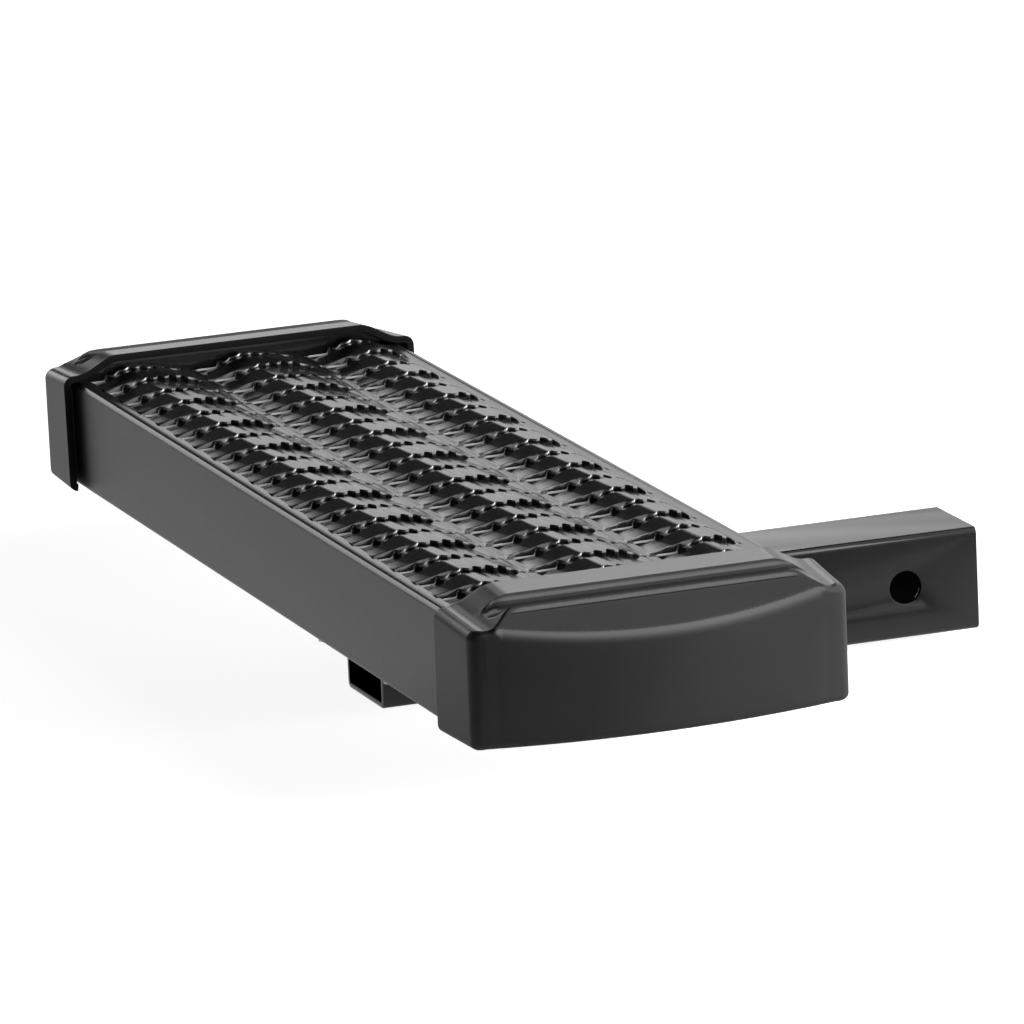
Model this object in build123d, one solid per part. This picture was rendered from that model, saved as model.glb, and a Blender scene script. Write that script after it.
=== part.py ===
"""Hitch receiver step: a serrated tread plank carried off-centre on a square receiver tube.

The tube runs along X towards the vehicle, the plank runs along Y and Z is up.
The origin is the middle of the hitch pin hole on the tube's axis. Sizes are in millimetres.
"""

from build123d import *
from math import radians, sin
import os

# Receiver tube
TUBE_SIDE = 50.8
TUBE_WALL = 3.2
TUBE_CORNER = 3.0
TUBE_REACH = 230.5
TUBE_TAIL = 76.5
PIN_HOLE_D = 16.3
PIN_HOLE_FROM_END = 38.0

# Tread plank, with its sizes across X and its heights from the tube's axis
PLANK_LENGTH = 584.0
PLANK_WIDTH = 177.8
PLANK_SHIFT = 121.0
RAIL_TOP = 51.6
PLANK_HEIGHT = 54.6
SHEET = 2.6
BEND_RADIUS = 3.0
LIP_WIDTH = 20.0
LEFT_RAIL = 8.4
RIGHT_RAIL = 5.4
TUBE_CLEARANCE = 1.0

# Tread pattern: rows of mounds parted by serrated slits
ROW_PITCH = 29.2
SLIT_GAP = 1.0
STRAND_TILT = 4.0
TILT_PIVOT = 6.0
CELL_PITCH = 60.6
FIRST_VALLEY = 6.4
VALLEY_WIDTH = 11.7
CREST_RISE = 4.5
TOOTH_PITCH = 6.75
TOOTH_DEPTH = 4.4
TOOTH_FADE = 0.07
TEETH_PER_MOUND = 6
RAMP_TEETH = 2
NARROW_CREST_TEETH = 1
WIDE_CREST_TEETH = 2.5
FALL_TEETH = 1.5
BOND_WIDTH = 3.4
BOND_LAP = 0.8
END_WAVE = 10.0

# End caps
CAP_GRIP = 16.0
CAP_SIDE_GAP = 2.6
CAP_WALL = 3.8
CAP_DEPTH = 41.0
CAP_BULGE = 12.5
CAP_CORNER = 8.0
CAP_SHOULDER = 4.1
SHOULDER_WIDTH = 9.3
FLANK_RUN = 20.0
CAP_CROWN = 8.5
CAP_EDGE = 4.0
CAP_DROOP = 4.6
CAP_LEAN = 2.5
RIM_LEAN = 1.35
CAP_SKIRT = 1.2
SLOT_INSET = 10.0
SLOT_WIDTH = 16.0
SLOT_START = 20.0
SLOT_DEPTH = 2.8
RIDGE_WIDTH = 1.6
RIDGE_RISE = 0.9
FACET_ANGLE = 40.0
ROOF = 3.4
CAP_TOP_GAP = 0.6
CAP_END_GAP = 2.0
HOLLOW_DROP = 12.0
RIB_PLACE = 7.0
RIB_WIDTH = 3.0
RIB_FIT = 0.3
TAB_THICKNESS = 6.0
TAB_SIDE_GAP = 1.5
TAB_REACH = 12.0
SNAP_LENGTH = 9.0
SNAP_WIDTH = 5.0
SNAP_PLAY = 0.4
SNAP_FROM_END = 8.0

# Brackets, welds and fasteners under the plank
BRACKET_SHEET = 4.0
BRACKET_FOOT = 38.0
BRACKET_END_GAP = 2.0
WELD_LEG = 4.0
WELD_MARGIN = 3.0
BOLT_D = 6.0
BOLT_HOLE_PLAY = 0.6
BOLT_HEAD_AF = 10.0
BOLT_HEAD = 4.0
NUT_HEIGHT = 5.2
THREAD_PLAY = 0.2
BOLT_TAIL = 3.0

# Values worked out from the driving dimensions
TUBE_HALF = TUBE_SIDE / 2
PIN_X = TUBE_REACH - PIN_HOLE_FROM_END
PLANK_HALF = PLANK_WIDTH / 2
PLANK_NEAR = PLANK_SHIFT - PLANK_LENGTH / 2
PLANK_FAR = PLANK_SHIFT + PLANK_LENGTH / 2
PLANK_FLOOR = RAIL_TOP - PLANK_HEIGHT
LIP_TOP = PLANK_FLOOR + SHEET
LEFT_EDGE = -PLANK_HALF + LEFT_RAIL
RIGHT_EDGE = PLANK_HALF - RIGHT_RAIL
LIP_MIDDLE = PLANK_HALF - (SHEET + LIP_WIDTH) / 2
STRAND = ROW_PITCH - SLIT_GAP
SLIT_COUNT = int((PLANK_LENGTH - 2 * END_WAVE) / ROW_PITCH) + 1
FIRST_SLIT = PLANK_SHIFT - (SLIT_COUNT - 1) * ROW_PITCH / 2
LAST_SLIT = PLANK_SHIFT + (SLIT_COUNT - 1) * ROW_PITCH / 2
FIRST_FOOT = LEFT_EDGE + FIRST_VALLEY
BOND_REACH = SLIT_GAP + BOND_LAP
LEAST_MOUND = (RAMP_TEETH + NARROW_CREST_TEETH + FALL_TEETH) * TOOTH_PITCH
CELL_COUNT = int((RIGHT_EDGE - FIRST_FOOT - LEAST_MOUND) / CELL_PITCH) + 1
CAP_HALF = PLANK_HALF + CAP_SIDE_GAP + CAP_WALL
CAP_FLOOR = PLANK_FLOOR - CAP_SKIRT
CROWN_FOOT = CAP_HALF - SHOULDER_WIDTH
SHOULDER_TOP = RAIL_TOP + CAP_SHOULDER
CROWN_TOP = SHOULDER_TOP + CAP_CROWN
TALL = 4 * PLANK_HEIGHT


def polygon(points, plane):
    """A flat face through the given points of a plane."""
    return make_face(plane * Polyline(*points, close=True))


def box_between(low, high):
    """A box between two corners."""
    size = [b - a for a, b in zip(low, high)]
    return Pos(*low) * Box(*size, align=(Align.MIN, Align.MIN, Align.MIN))


def hexagon_prism(across_flats, height):
    """A hexagonal prism that stands on z = 0."""
    return extrude(RegularPolygon(across_flats / 2, 6, major_radius=False), height)


def mound_foot(cell):
    """Where the ramp of a cell's mound starts, across the plank."""
    return FIRST_FOOT + cell * CELL_PITCH


def mound_teeth(cell):
    """How many whole teeth a cell's mound has before it meets the right rail."""
    return min(TEETH_PER_MOUND, int((RIGHT_EDGE - mound_foot(cell)) / TOOTH_PITCH))


def wave_heights(wide):
    """The top line of a strand across the plank, with narrow or wide crests, from left to right."""
    crest = WIDE_CREST_TEETH if wide else NARROW_CREST_TEETH
    line = [(LEFT_EDGE, 0.0)]
    for cell in range(CELL_COUNT):
        foot, teeth = mound_foot(cell), mound_teeth(cell)
        crest_end = min(RAMP_TEETH + crest, teeth - FALL_TEETH)
        for tooth, height in ((0, 0.0), (RAMP_TEETH, CREST_RISE), (crest_end, CREST_RISE), (teeth, 0.0)):
            line.append((foot + tooth * TOOTH_PITCH, height))
    line.append((RIGHT_EDGE, 0.0))
    return line


def serrated_edge():
    """The front edge of a strand as (x, depth) pairs from left to right, with its teeth and its bonds."""
    edge = [(LEFT_EDGE, 0.0)]
    for cell in range(CELL_COUNT):
        foot, teeth = mound_foot(cell), mound_teeth(cell)
        end = foot - VALLEY_WIDTH
        start = end - BOND_WIDTH
        if start > LEFT_EDGE:
            edge += [(start, 0.0), (start, -BOND_REACH), (end, -BOND_REACH), (end, 0.0)]
        for tooth in range(teeth):
            left = foot + tooth * TOOTH_PITCH
            depth = TOOTH_DEPTH * (1 - TOOTH_FADE * tooth)
            edge += [(left, 0.0), (left + TOOTH_PITCH / 2, depth)]
        edge.append((foot + teeth * TOOTH_PITCH, 0.0))
    edge.append((RIGHT_EDGE, 0.0))
    return edge


def wave_sheet(wide, length):
    """A waved sheet as wide as the tread, with its top at the rails, from y = 0 to its length."""
    top = wave_heights(wide)
    under = [(x, z - SHEET) for x, z in reversed(top)]
    return extrude(polygon(top + under, Plane.XZ), length, dir=(0, 1, 0))


def strand(wide, length):
    """One strand of the tread, level, from its serrated front edge at y = 0 to its straight rear edge."""
    outline = serrated_edge() + [(RIGHT_EDGE, length), (LEFT_EDGE, length)]
    blank = extrude(polygon(outline, Plane.XY), 2 * CREST_RISE + SHEET, both=True)
    return Pos(0, -BOND_REACH, 0) * wave_sheet(wide, BOND_REACH + length) & blank


def tread():
    """All strands and end webs of the tread, at rail height."""
    tilt = Pos(0, TILT_PIVOT, 0) * Rot(-STRAND_TILT, 0, 0) * Pos(0, -TILT_PIVOT, 0)
    strands = [tilt * strand(wide, STRAND) for wide in (True, False)]
    edges = [FIRST_SLIT + row * ROW_PITCH + SLIT_GAP / 2 for row in range(SLIT_COUNT)]
    pieces = [Pos(0, edge, RAIL_TOP) * strands[row % 2] for row, edge in enumerate(edges[:-1])]
    web = END_WAVE - SLIT_GAP / 2
    pieces.append(Pos(0, FIRST_SLIT - END_WAVE, RAIL_TOP) * wave_sheet(False, web))
    pieces.append(Pos(0, edges[-1], RAIL_TOP) * strand(False, web))
    return pieces


def channel_section():
    """The folded section of the plank without its tread: two rails, flanges and return lips."""
    outer = RectangleRounded(PLANK_WIDTH, PLANK_HEIGHT, BEND_RADIUS)
    inner = RectangleRounded(PLANK_WIDTH - 2 * SHEET, PLANK_HEIGHT - 2 * SHEET, BEND_RADIUS - SHEET)
    tread_gap = Pos((LEFT_EDGE + RIGHT_EDGE) / 2, PLANK_HEIGHT / 2) * Rectangle(
        RIGHT_EDGE - LEFT_EDGE, 4 * SHEET
    )
    mouth = Pos(0, -PLANK_HEIGHT / 2) * Rectangle(PLANK_WIDTH - 2 * LIP_WIDTH, 4 * SHEET)
    return outer - inner - tread_gap - mouth


def tread_plank():
    """The folded plank with its serrated tread, tube notch, bolt holes and snap slots."""
    section = Plane.XZ * Pos(0, RAIL_TOP - PLANK_HEIGHT / 2) * channel_section()
    channel = Pos(0, PLANK_NEAR, 0) * extrude(section, PLANK_LENGTH, dir=(0, 1, 0))
    under = RAIL_TOP - SHEET
    near_end, far_start = FIRST_SLIT - END_WAVE, LAST_SLIT + END_WAVE
    webs = [
        box_between((LEFT_EDGE, PLANK_NEAR, under), (RIGHT_EDGE, near_end, RAIL_TOP)),
        box_between((LEFT_EDGE, far_start, under), (RIGHT_EDGE, PLANK_FAR, RAIL_TOP)),
    ]
    plank = channel.fuse(*webs, *tread())
    room = TUBE_HALF + TUBE_CLEARANCE
    plank -= box_between((0, -room, PLANK_FLOOR - SHEET), (PLANK_WIDTH, room, room))
    lip_notch = room + WELD_LEG
    plank -= box_between(
        (-PLANK_HALF + SHEET + TUBE_CLEARANCE, -lip_notch, PLANK_FLOOR - SHEET),
        (PLANK_HALF - SHEET - TUBE_CLEARANCE, lip_notch, LIP_TOP + SHEET),
    )
    for place in bolt_places():
        plank -= place * Cylinder((BOLT_D + BOLT_HOLE_PLAY) / 2, 4 * SHEET)
    for place in snap_places():
        plank -= place * Box(SNAP_LENGTH, SNAP_WIDTH, 4 * SHEET)
    return plank


def receiver_tube():
    """The square tube with open ends and the cross hole for the hitch pin."""
    bore = TUBE_SIDE - 2 * TUBE_WALL
    section = RectangleRounded(TUBE_SIDE, TUBE_SIDE, TUBE_CORNER)
    section -= Rectangle(bore, bore)
    tube = Pos(-TUBE_TAIL, 0, 0) * extrude(Plane.YZ * section, TUBE_TAIL + TUBE_REACH, dir=(1, 0, 0))
    pin = Pos(PIN_X, 0, 0) * Rot(90, 0, 0) * Cylinder(PIN_HOLE_D / 2, 2 * TUBE_SIDE)
    return tube - pin


def bolt_places():
    """The four bolt places on the undersides of the return lips."""
    reach = TUBE_HALF + BRACKET_SHEET + (BRACKET_FOOT - BRACKET_SHEET) / 2
    return [Pos(x, y, PLANK_FLOOR) for x in (-LIP_MIDDLE, LIP_MIDDLE) for y in (-reach, reach)]


def snap_places():
    """The four places in the return lips where the caps snap in."""
    reach = PLANK_LENGTH / 2 - SNAP_FROM_END
    return [
        Pos(x, PLANK_SHIFT + y, PLANK_FLOOR)
        for x in (-LIP_MIDDLE, LIP_MIDDLE)
        for y in (-reach, reach)
    ]


def bracket(side):
    """An angle cross member on one side of the tube, seated on both return lips."""
    half = PLANK_HALF - SHEET - BRACKET_END_GAP
    leg_top = TUBE_HALF - TUBE_CORNER - WELD_LEG - WELD_MARGIN
    near, far = TUBE_HALF, TUBE_HALF + BRACKET_FOOT
    angle = box_between((-half, near, LIP_TOP), (half, far, LIP_TOP + BRACKET_SHEET))
    leg_half = PLANK_HALF - LIP_WIDTH
    angle += box_between((-leg_half, near, LIP_TOP), (leg_half, near + BRACKET_SHEET, leg_top))
    angle = angle if side > 0 else mirror(angle, Plane.XZ)
    for place in bolt_places():
        angle -= place * Cylinder((BOLT_D + BOLT_HOLE_PLAY) / 2, 4 * (SHEET + BRACKET_SHEET))
    return angle


def weld_beads():
    """Fillet welds above and below both brackets, along the sides of the tube."""
    half = PLANK_HALF - LIP_WIDTH - WELD_MARGIN
    tail = min(half, TUBE_TAIL - WELD_MARGIN)
    leg_top = TUBE_HALF - TUBE_CORNER - WELD_LEG - WELD_MARGIN
    beads = []
    for side in (-1, 1):
        wall, foot = side * TUBE_HALF, side * (TUBE_HALF + WELD_LEG)
        for seat, tip in ((leg_top, leg_top + WELD_LEG), (LIP_TOP, LIP_TOP - WELD_LEG)):
            section = polygon([(wall, seat), (foot, seat), (wall, tip)], Plane.YZ)
            beads.append(Pos(-tail, 0, 0) * extrude(section, tail + half, dir=(1, 0, 0)))
    return beads


def bracket_bolts():
    """Hex bolts with their heads under the lips."""
    shank = SHEET + BRACKET_SHEET + NUT_HEIGHT + BOLT_TAIL
    head = Pos(0, 0, -BOLT_HEAD) * hexagon_prism(BOLT_HEAD_AF, BOLT_HEAD)
    bolt = head + Cylinder(BOLT_D / 2, shank, align=(Align.CENTER, Align.CENTER, Align.MIN))
    return [place * bolt for place in bolt_places()]


def bracket_nuts():
    """Hex nuts on top of the bracket feet."""
    nut = hexagon_prism(BOLT_HEAD_AF, NUT_HEIGHT) - Cylinder((BOLT_D + THREAD_PLAY) / 2, 4 * NUT_HEIGHT)
    return [place * Pos(0, 0, SHEET + BRACKET_SHEET) * nut for place in bolt_places()]


def crown_section(half, shoulder, crown, foot, edge):
    """The section of a cap across X: round shoulder edges and a flat crown with soft flanks."""
    flat = foot - FLANK_RUN
    rise = crown - shoulder
    radius = (rise**2 + FLANK_RUN**2) / (4 * rise)
    middle = ((foot + flat) / 2, (shoulder + crown) / 2)
    right = [
        Line((half, CAP_FLOOR), (half, shoulder - edge)),
        RadiusArc((half, shoulder - edge), (half - edge, shoulder), -edge),
        Line((half - edge, shoulder), (foot, shoulder)),
        RadiusArc((foot, shoulder), middle, -radius),
        RadiusArc(middle, (flat, crown), radius),
    ]
    left = [mirror(piece, Plane.YZ) for piece in right]
    top = Line((flat, crown), (-flat, crown))
    base = Line((-half, CAP_FLOOR), (half, CAP_FLOOR))
    return Plane.XZ * make_face([*right, *left, top, base])


def cap_plan(inset):
    """The outline of a cap seen from above: its rim is at y = 0 and its bowed front towards -y."""
    half, front = CAP_HALF - inset, CAP_DEPTH - inset
    corner, far_corner = (half, -front), (-half, -front)
    sides = Polyline(corner, (half, CAP_DEPTH), (-half, CAP_DEPTH), far_corner)
    bow = ThreePointArc(far_corner, (0, -front - CAP_BULGE), corner)
    outline = make_face([sides, bow])
    corners = outline.vertices().filter_by_position(Axis.Y, -front - CAP_EDGE, -front + CAP_EDGE)
    return fillet(corners, CAP_CORNER - inset)


def cap_outside():
    """The outer form of a cap before it is hollowed, with its rim at y = 0."""
    crown = crown_section(CAP_HALF, SHOULDER_TOP, CROWN_TOP, CROWN_FOOT, CAP_EDGE)
    form = Rot(CAP_DROOP, 0, 0) * extrude(crown, 2 * CAP_DEPTH, both=True)
    walls = extrude(cap_plan(0), TALL, both=True)
    form &= Pos(0, 0, CAP_FLOOR) * Rot(CAP_LEAN, 0, 0) * walls
    form &= box_between((-PLANK_WIDTH, -TALL, CAP_FLOOR), (PLANK_WIDTH, TALL, TALL))
    slot_floor = CROWN_TOP - sin(radians(CAP_DROOP)) * SLOT_START - SLOT_DEPTH
    slot_end = SLOT_START + SLOT_WIDTH
    above = box_between((-PLANK_WIDTH, -TALL, 0), (PLANK_WIDTH, TALL, TALL))
    form -= Pos(0, -slot_end - RIDGE_WIDTH / 2, slot_floor + RIDGE_RISE) * Rot(FACET_ANGLE, 0, 0) * above
    slot = SlotOverall(2 * (CROWN_FOOT - SLOT_INSET), SLOT_WIDTH)
    form -= extrude(Pos(0, -SLOT_START - SLOT_WIDTH / 2, slot_floor) * slot, TALL, dir=(0, 0, 1))
    behind = box_between((-PLANK_WIDTH, 0, -TALL), (PLANK_WIDTH, TALL, TALL))
    return form - Pos(0, 0, CAP_FLOOR) * Rot(RIM_LEAN, 0, 0) * behind


def snap_barb():
    """A wedge under a cap's tab that drops into its slot, with its slope towards the plank."""
    half = SNAP_WIDTH / 2 - SNAP_PLAY
    length = SNAP_LENGTH - 2 * SNAP_PLAY
    wedge = polygon([(half, 0), (-half, 0), (-half, -SHEET)], Plane.YZ)
    return Pos(-length / 2, 0, 0) * extrude(wedge, length, dir=(1, 0, 0))


def end_cap():
    """A moulded cap with its rim at y = 0, open towards the plank and below, with ribs and snap tabs."""
    outside = cap_outside()
    mouth_depth = CAP_GRIP + CAP_END_GAP
    mouth_top = CROWN_TOP - sin(radians(CAP_DROOP)) * mouth_depth - ROOF
    half, foot, ledge = CAP_HALF - CAP_WALL, CROWN_FOOT - ROOF / 2, RAIL_TOP + CAP_TOP_GAP
    right = [(half, CAP_FLOOR - CAP_WALL), (half, ledge), (foot, ledge), (foot - FLANK_RUN, mouth_top)]
    left = [(-x, z) for x, z in reversed(right)]
    mouth = extrude(polygon(right + left, Plane.XZ), CAP_WALL + mouth_depth, dir=(0, -1, 0))
    room = Pos(0, 0, CAP_FLOOR - CAP_WALL) * cap_plan(CAP_WALL)
    hollow = extrude(room, RAIL_TOP - HOLLOW_DROP - CAP_FLOOR + CAP_WALL, dir=(0, 0, 1))
    cap = outside - Pos(0, CAP_WALL, 0) * mouth - hollow
    for side in (-1, 1):
        near, far = PLANK_HALF + RIB_FIT, PLANK_HALF + CAP_SIDE_GAP + CAP_WALL / 2
        low, high = LIP_TOP + BEND_RADIUS, RAIL_TOP - BEND_RADIUS
        x_low, x_high = sorted((side * near, side * far))
        cap += box_between((x_low, -RIB_PLACE - RIB_WIDTH, low), (x_high, -RIB_PLACE, high))
        inner, outer = PLANK_HALF - LIP_WIDTH, PLANK_HALF - BEND_RADIUS - TAB_SIDE_GAP
        x_low, x_high = sorted((side * inner, side * outer))
        front, back = -CAP_DEPTH - CAP_BULGE, -CAP_GRIP + TAB_REACH
        top = LIP_TOP + TAB_THICKNESS
        cap += box_between((x_low, front, LIP_TOP), (x_high, back, top)) & outside
        cap += Pos(side * LIP_MIDDLE, SNAP_FROM_END - CAP_GRIP, LIP_TOP) * snap_barb()
    return cap


def save(name, *solids):
    """Moves solids from the plank's middle to the pin hole and writes them as one node."""
    placed = [Pos(-PIN_X, 0, 0) * solid for solid in solids]
    export_step(placed[0] if len(placed) == 1 else Compound(children=placed), f"parts/{name}.step")


def main():
    """Builds and writes every piece of the step."""
    os.makedirs("parts", exist_ok=True)
    save("tread_plank", tread_plank())
    save("receiver_tube", receiver_tube())
    save("bracket_near", bracket(-1))
    save("bracket_far", bracket(1))
    save("weld_beads", *weld_beads())
    save("bracket_bolts", *bracket_bolts())
    save("bracket_nuts", *bracket_nuts())
    cap = end_cap()
    near_cap = Pos(0, PLANK_NEAR + CAP_GRIP, 0) * cap
    far_cap = Pos(0, PLANK_FAR - CAP_GRIP, 0) * Rot(0, 0, 180) * cap
    save("end_cap_near", near_cap)
    save("end_cap_far", far_cap)


if __name__ == "__main__":
    main()
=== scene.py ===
"""Looks of a hitch receiver step: serrated tread plank, square receiver tube and moulded end caps.

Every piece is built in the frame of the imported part: the origin is the middle of the hitch pin hole,
+X runs along the tube towards the vehicle, +Y along the plank and +Z is up. The classes hold their
sizes in millimetres and the meshes are written in metres.
"""

import logging
import math
from collections.abc import Callable
from dataclasses import dataclass, field
from enum import Enum

import bpy
import numpy as np
from mathutils import Matrix, Vector


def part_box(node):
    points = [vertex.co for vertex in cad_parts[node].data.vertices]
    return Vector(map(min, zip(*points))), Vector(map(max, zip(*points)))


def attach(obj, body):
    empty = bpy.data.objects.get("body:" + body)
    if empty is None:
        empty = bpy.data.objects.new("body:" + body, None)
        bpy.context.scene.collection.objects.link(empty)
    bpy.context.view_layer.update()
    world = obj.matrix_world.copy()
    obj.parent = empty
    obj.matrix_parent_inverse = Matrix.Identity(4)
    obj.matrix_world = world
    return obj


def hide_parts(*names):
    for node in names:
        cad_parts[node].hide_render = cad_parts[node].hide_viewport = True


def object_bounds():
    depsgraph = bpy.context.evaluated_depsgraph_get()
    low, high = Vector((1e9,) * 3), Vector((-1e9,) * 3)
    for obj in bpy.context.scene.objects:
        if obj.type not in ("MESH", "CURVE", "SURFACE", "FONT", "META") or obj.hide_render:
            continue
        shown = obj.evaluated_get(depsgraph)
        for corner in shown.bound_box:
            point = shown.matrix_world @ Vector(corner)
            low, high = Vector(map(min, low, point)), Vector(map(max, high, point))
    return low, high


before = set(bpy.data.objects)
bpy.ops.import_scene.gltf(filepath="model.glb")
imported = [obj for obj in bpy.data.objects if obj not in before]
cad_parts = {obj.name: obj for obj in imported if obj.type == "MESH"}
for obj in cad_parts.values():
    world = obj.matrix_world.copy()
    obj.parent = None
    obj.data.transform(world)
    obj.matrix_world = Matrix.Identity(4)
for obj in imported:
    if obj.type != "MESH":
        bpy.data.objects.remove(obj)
CAD_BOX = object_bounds()

LOG = logging.getLogger("hitch_step")
MM = 0.001
TINY = 1e-6
BODY = "root"
# Marks the surfaces that get painted light in a tone of their own: a painted highlight on the strands' front
# faces, and painted shade on the tube's inside and on the caps' rims.
PAINTED_LIGHT_LAYER = "bare_edge"
# The turns of a round corner, in radians.
QUARTER = [math.radians(angle) for angle in range(0, 91, 15)]

Span = tuple[float, float]
Point = tuple[float, float, float]
Colour = tuple[float, float, float, float]
Inputs = dict[str | int, object]
Ring = list[tuple[np.ndarray, float | np.ndarray]]
Outward = Callable[[int, int], np.ndarray]
Socket = bpy.types.NodeSocket


def grey(level: float) -> Colour:
    """A neutral colour of one linear level."""
    return (level, level, level, 1.0)


def node_box(node: str) -> tuple[np.ndarray, np.ndarray]:
    """The lowest and the highest corner of a CAD node in millimetres."""
    low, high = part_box(node)
    return np.array(low) / MM, np.array(high) / MM


def smoothstep(low: float, high: float, value: np.ndarray) -> np.ndarray:
    """A soft step from 0 at low to 1 at high."""
    share = np.clip((np.asarray(value, float) - low) / (high - low), 0.0, 1.0)
    return share * share * (3.0 - 2.0 * share)


def soft_min(first: np.ndarray, second: np.ndarray, blend: float) -> np.ndarray:
    """The lower of two heights, which flow together over the range given by blend."""
    share = np.clip(0.5 + 0.5 * (second - first) / blend, 0.0, 1.0)
    return second * (1.0 - share) + first * share - blend * share * (1.0 - share)


class Graph:
    """A node tree with short calls to add nodes and to join them."""

    def __init__(self, tree: bpy.types.NodeTree) -> None:
        """Keeps the tree."""
        self.tree = tree

    def add(self, kind: str, inputs: Inputs | None = None, **settings: object) -> bpy.types.Node:
        """Adds a node.

        Args:
            kind: The node's type name.
            inputs: Its inputs by name or number, each a plain value or the output that feeds it.
            settings: Properties of the node to set.

        Returns:
            The new node.
        """
        node = self.tree.nodes.new(kind)
        for name, value in settings.items():
            setattr(node, name, value)
        for key, value in (inputs or {}).items():
            if isinstance(value, Socket):
                self.join(value, node.inputs[key])
            else:
                node.inputs[key].default_value = value
        return node

    def join(self, source: Socket, target: Socket) -> None:
        """Links an output to an input."""
        self.tree.links.new(source, target)

    def calculate(self, operation: str, *terms: object) -> Socket:
        """Adds a math node, whose terms are numbers or outputs, and gives its result."""
        return self.add("ShaderNodeMath", dict(enumerate(terms)), operation=operation).outputs["Value"]

    def spread(self, value: Socket, span: Span, result: Span) -> Socket:
        """Turns the span of a value into the span of a result, held at both ends."""
        ends = {"From Min": span[0], "From Max": span[1], "To Min": result[0], "To Max": result[1]}
        return self.add("ShaderNodeMapRange", {"Value": value, **ends}).outputs["Result"]


def blank_material(name: str) -> tuple[bpy.types.Material, Graph]:
    """Makes a material without nodes.

    Args:
        name: Name of the material.

    Returns:
        The material and its node tree.
    """
    material = bpy.data.materials.new(name)
    material.use_nodes = True
    material.node_tree.nodes.clear()
    return material, Graph(material.node_tree)


def new_object(name: str, data: bpy.types.ID) -> bpy.types.Object:
    """Puts a mesh, camera or light into the scene.

    Args:
        name: Name of the object.
        data: The mesh, camera or light.

    Returns:
        The new object.
    """
    made = bpy.data.objects.new(name, data)
    bpy.context.scene.collection.objects.link(made)
    return made


def mark_painted_light(piece: bpy.types.Object, marks: np.ndarray) -> None:
    """Writes for each vertex of a piece its share of the finish's painted light, which is a painted
    highlight on the strands and a painted shade on the tube and the caps.
    """
    piece.data.attributes.new(PAINTED_LIGHT_LAYER, "FLOAT", "POINT").data.foreach_set("value", marks)


@dataclass
class Draft:
    """Vertices in millimetres and faces of a piece that is being made."""

    points: list[Point] = field(default_factory=list)
    faces: list[tuple[int, ...]] = field(default_factory=list)

    def add_points(self, points: np.ndarray) -> int:
        """Adds rows of points.

        Args:
            points: Array of points, three numbers each.

        Returns:
            Index of the first new point.
        """
        start = len(self.points)
        self.points.extend(tuple(float(v) for v in row) for row in np.asarray(points).reshape(-1, 3))
        return start

    def add_grid(self, grid: np.ndarray, wrap: bool = False, keep: np.ndarray | None = None) -> None:
        """Adds a sheet of four-sided faces.

        Args:
            grid: Points in rows and columns.
            wrap: Whether the last column joins the first.
            keep: Which faces are made, by row and column; all of them if left out.
        """
        rows, columns = grid.shape[:2]
        start = self.add_points(grid)
        for row in range(rows - 1):
            for column in range(columns if wrap else columns - 1):
                if keep is not None and not keep[row, column]:
                    continue
                after = (column + 1) % columns
                low, high = start + row * columns, start + (row + 1) * columns
                self.faces.append((low + column, low + after, high + after, high + column))

    def add_prism(self, profile: list[Span], low: float, high: float) -> None:
        """Adds a closed prism along X.

        Args:
            profile: Corners of its convex section, along Y and up.
            low: Its lower end along X.
            high: Its upper end along X.
        """
        count = len(profile)
        pairs = list(zip(profile, profile[1:] + profile[:1]))
        if sum(y0 * z1 - y1 * z0 for (y0, z0), (y1, z1) in pairs) < 0:
            profile = profile[::-1]
        start = self.add_points(np.array([(x, y, z) for x in (low, high) for y, z in profile]))
        self.faces.append(tuple(start + i for i in reversed(range(count))))
        self.faces.append(tuple(start + count + i for i in range(count)))
        for i in range(count):
            j = (i + 1) % count
            self.faces.append((start + i, start + j, start + count + j, start + count + i))

    def piece(self, name: str, material: bpy.types.Material) -> bpy.types.Object:
        """Turns the draft into an object at the origin.

        Args:
            name: Name of the piece.
            material: Its finish.

        Returns:
            The new object.
        """
        mesh = bpy.data.meshes.new(name)
        mesh.from_pydata([tuple(v * MM for v in point) for point in self.points], [], self.faces)
        mesh.materials.append(material)
        return new_object(name, mesh)


def add_modifier(piece: bpy.types.Object, kind: str, **settings: object) -> bpy.types.Modifier:
    """Adds a modifier to a piece.

    Args:
        piece: The piece to change.
        kind: Type of the modifier.
        settings: Properties of the modifier to set.

    Returns:
        The new modifier.
    """
    modifier = piece.modifiers.new(kind.lower(), kind)
    for name, value in settings.items():
        setattr(modifier, name, value)
    return modifier


def settle(piece: bpy.types.Object, crease: float = 35.0) -> bpy.types.Object:
    """Applies the modifiers of a piece and shades it smooth up to a crease angle.

    Args:
        piece: The piece to finish.
        crease: Angle in degrees from which an edge stays sharp.

    Returns:
        The same piece with a plain mesh.
    """
    shown = piece.evaluated_get(bpy.context.evaluated_depsgraph_get())
    mesh = bpy.data.meshes.new_from_object(shown)
    piece.modifiers.clear()
    old, piece.data = piece.data, mesh
    mesh.name = piece.name
    bpy.data.meshes.remove(old)
    mesh.shade_smooth()
    mesh.set_sharp_from_angle(angle=math.radians(crease))
    return piece


def merge(parts: list[bpy.types.Object]) -> bpy.types.Object:
    """Joins several pieces into the first one.

    Args:
        parts: The pieces to join.

    Returns:
        The first piece, which now holds all of them.
    """
    whole = parts[0]
    with bpy.context.temp_override(active_object=whole, selected_editable_objects=parts):
        bpy.ops.object.join()
    whole.data.name = whole.name
    return whole


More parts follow.
